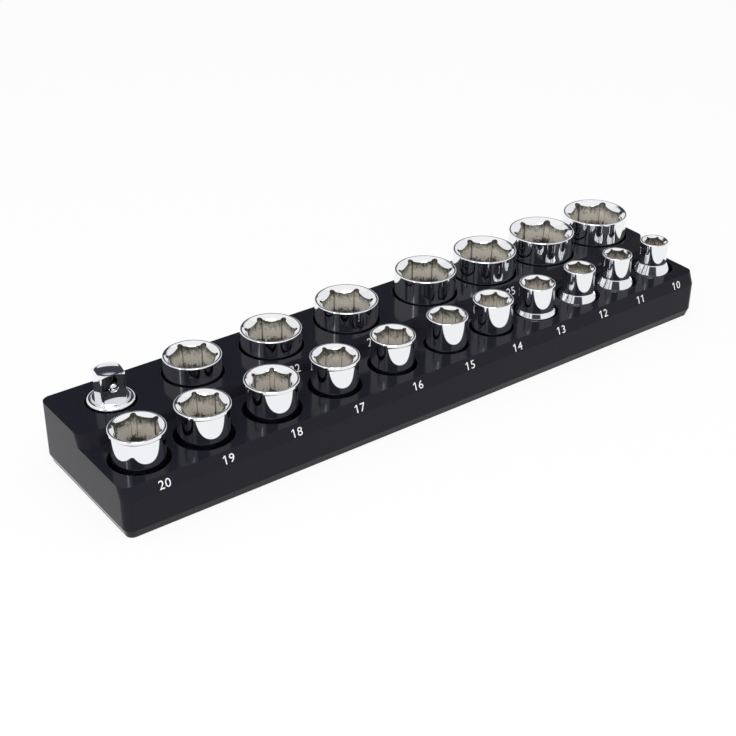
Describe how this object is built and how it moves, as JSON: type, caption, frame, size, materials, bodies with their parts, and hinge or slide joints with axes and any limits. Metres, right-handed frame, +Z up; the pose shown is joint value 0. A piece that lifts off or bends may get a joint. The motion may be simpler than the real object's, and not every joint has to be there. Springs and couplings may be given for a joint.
{
  "type": "magnetic socket holder",
  "caption": "Long two-tier magnetic tray with a round pocket for each chrome six-point socket and a square drive adaptor, sizes printed along its sloped edges.",
  "frame": {"origin": "middle of the underside of the base plate, on the surface that the tray stands on", "axes": "+Z up, +X along the tray towards the 10 mm socket, -Y towards the low front row and its numbered edge"},
  "size_m": [0.364, 0.0826, 0.0505],
  "materials": {
    "gloss_black": "glossy black moulding",
    "matt_black": "matt black moulding",
    "chrome": "bright chrome plate, duller nickel inside the openings",
    "ball_steel": "polished ball steel",
    "spring_steel": "spring steel wire",
    "magnet": "nickel-plated magnet",
    "screw_steel": "blackened steel"
  },
  "bodies": {
    "tray": {"tray_shell": "gloss_black", "base_plate": "matt_black", "front_pocket_magnets": "magnet", "rear_pocket_magnets": "magnet", "base_magnets": "magnet", "base_screws": "screw_steel"},
    "socket_20": {"socket_20": "chrome"},
    "socket_19": {"socket_19": "chrome"},
    "socket_18": {"socket_18": "chrome"},
    "socket_17": {"socket_17": "chrome"},
    "socket_16": {"socket_16": "chrome"},
    "socket_15": {"socket_15": "chrome"},
    "socket_14": {"socket_14": "chrome"},
    "socket_13": {"socket_13": "chrome"},
    "socket_12": {"socket_12": "chrome"},
    "socket_11": {"socket_11": "chrome"},
    "socket_10": {"socket_10": "chrome"},
    "socket_21": {"socket_21": "chrome"},
    "socket_22": {"socket_22": "chrome"},
    "socket_23": {"socket_23": "chrome"},
    "socket_24": {"socket_24": "chrome"},
    "socket_25": {"socket_25": "chrome"},
    "socket_26": {"socket_26": "chrome"},
    "socket_27": {"socket_27": "chrome"},
    "drive_adapter": {"drive_adapter": "chrome", "detent_spring": "spring_steel"},
    "detent_ball": {"detent_ball": "ball_steel"}
  },
  "joints": [
    {"name": "socket_20_lift", "type": "slide", "parent": "tray", "child": "socket_20", "axis": [0, 0, 1], "range_m": [0, 0.05]},
    {"name": "socket_19_lift", "type": "slide", "parent": "tray", "child": "socket_19", "axis": [0, 0, 1], "range_m": [0, 0.05]},
    {"name": "socket_18_lift", "type": "slide", "parent": "tray", "child": "socket_18", "axis": [0, 0, 1], "range_m": [0, 0.05]},
    {"name": "socket_17_lift", "type": "slide", "parent": "tray", "child": "socket_17", "axis": [0, 0, 1], "range_m": [0, 0.05]},
    {"name": "socket_16_lift", "type": "slide", "parent": "tray", "child": "socket_16", "axis": [0, 0, 1], "range_m": [0, 0.05]},
    {"name": "socket_15_lift", "type": "slide", "parent": "tray", "child": "socket_15", "axis": [0, 0, 1], "range_m": [0, 0.05]},
    {"name": "socket_14_lift", "type": "slide", "parent": "tray", "child": "socket_14", "axis": [0, 0, 1], "range_m": [0, 0.05]},
    {"name": "socket_13_lift", "type": "slide", "parent": "tray", "child": "socket_13", "axis": [0, 0, 1], "range_m": [0, 0.05]},
    {"name": "socket_12_lift", "type": "slide", "parent": "tray", "child": "socket_12", "axis": [0, 0, 1], "range_m": [0, 0.05]},
    {"name": "socket_11_lift", "type": "slide", "parent": "tray", "child": "socket_11", "axis": [0, 0, 1], "range_m": [0, 0.05]},
    {"name": "socket_10_lift", "type": "slide", "parent": "tray", "child": "socket_10", "axis": [0, 0, 1], "range_m": [0, 0.05]},
    {"name": "socket_21_lift", "type": "slide", "parent": "tray", "child": "socket_21", "axis": [0, 0, 1], "range_m": [0, 0.05]},
    {"name": "socket_22_lift", "type": "slide", "parent": "tray", "child": "socket_22", "axis": [0, 0, 1], "range_m": [0, 0.05]},
    {"name": "socket_23_lift", "type": "slide", "parent": "tray", "child": "socket_23", "axis": [0, 0, 1], "range_m": [0, 0.05]},
    {"name": "socket_24_lift", "type": "slide", "parent": "tray", "child": "socket_24", "axis": [0, 0, 1], "range_m": [0, 0.05]},
    {"name": "socket_25_lift", "type": "slide", "parent": "tray", "child": "socket_25", "axis": [0, 0, 1], "range_m": [0, 0.05]},
    {"name": "socket_26_lift", "type": "slide", "parent": "tray", "child": "socket_26", "axis": [0, 0, 1], "range_m": [0, 0.05]},
    {"name": "socket_27_lift", "type": "slide", "parent": "tray", "child": "socket_27", "axis": [0, 0, 1], "range_m": [0, 0.05]},
    {"name": "drive_adapter_lift", "type": "slide", "parent": "tray", "child": "drive_adapter", "axis": [0, 0, 1], "range_m": [0, 0.05]},
    {"name": "detent_ball_press", "type": "slide", "parent": "drive_adapter", "child": "detent_ball", "axis": [-0.1392, -0.9903, 0], "range_m": [-0.0012, 0], "stiffness_N_per_m": 1500, "springref_m": 0.001, "deforming": ["detent_spring"]}
  ]
}
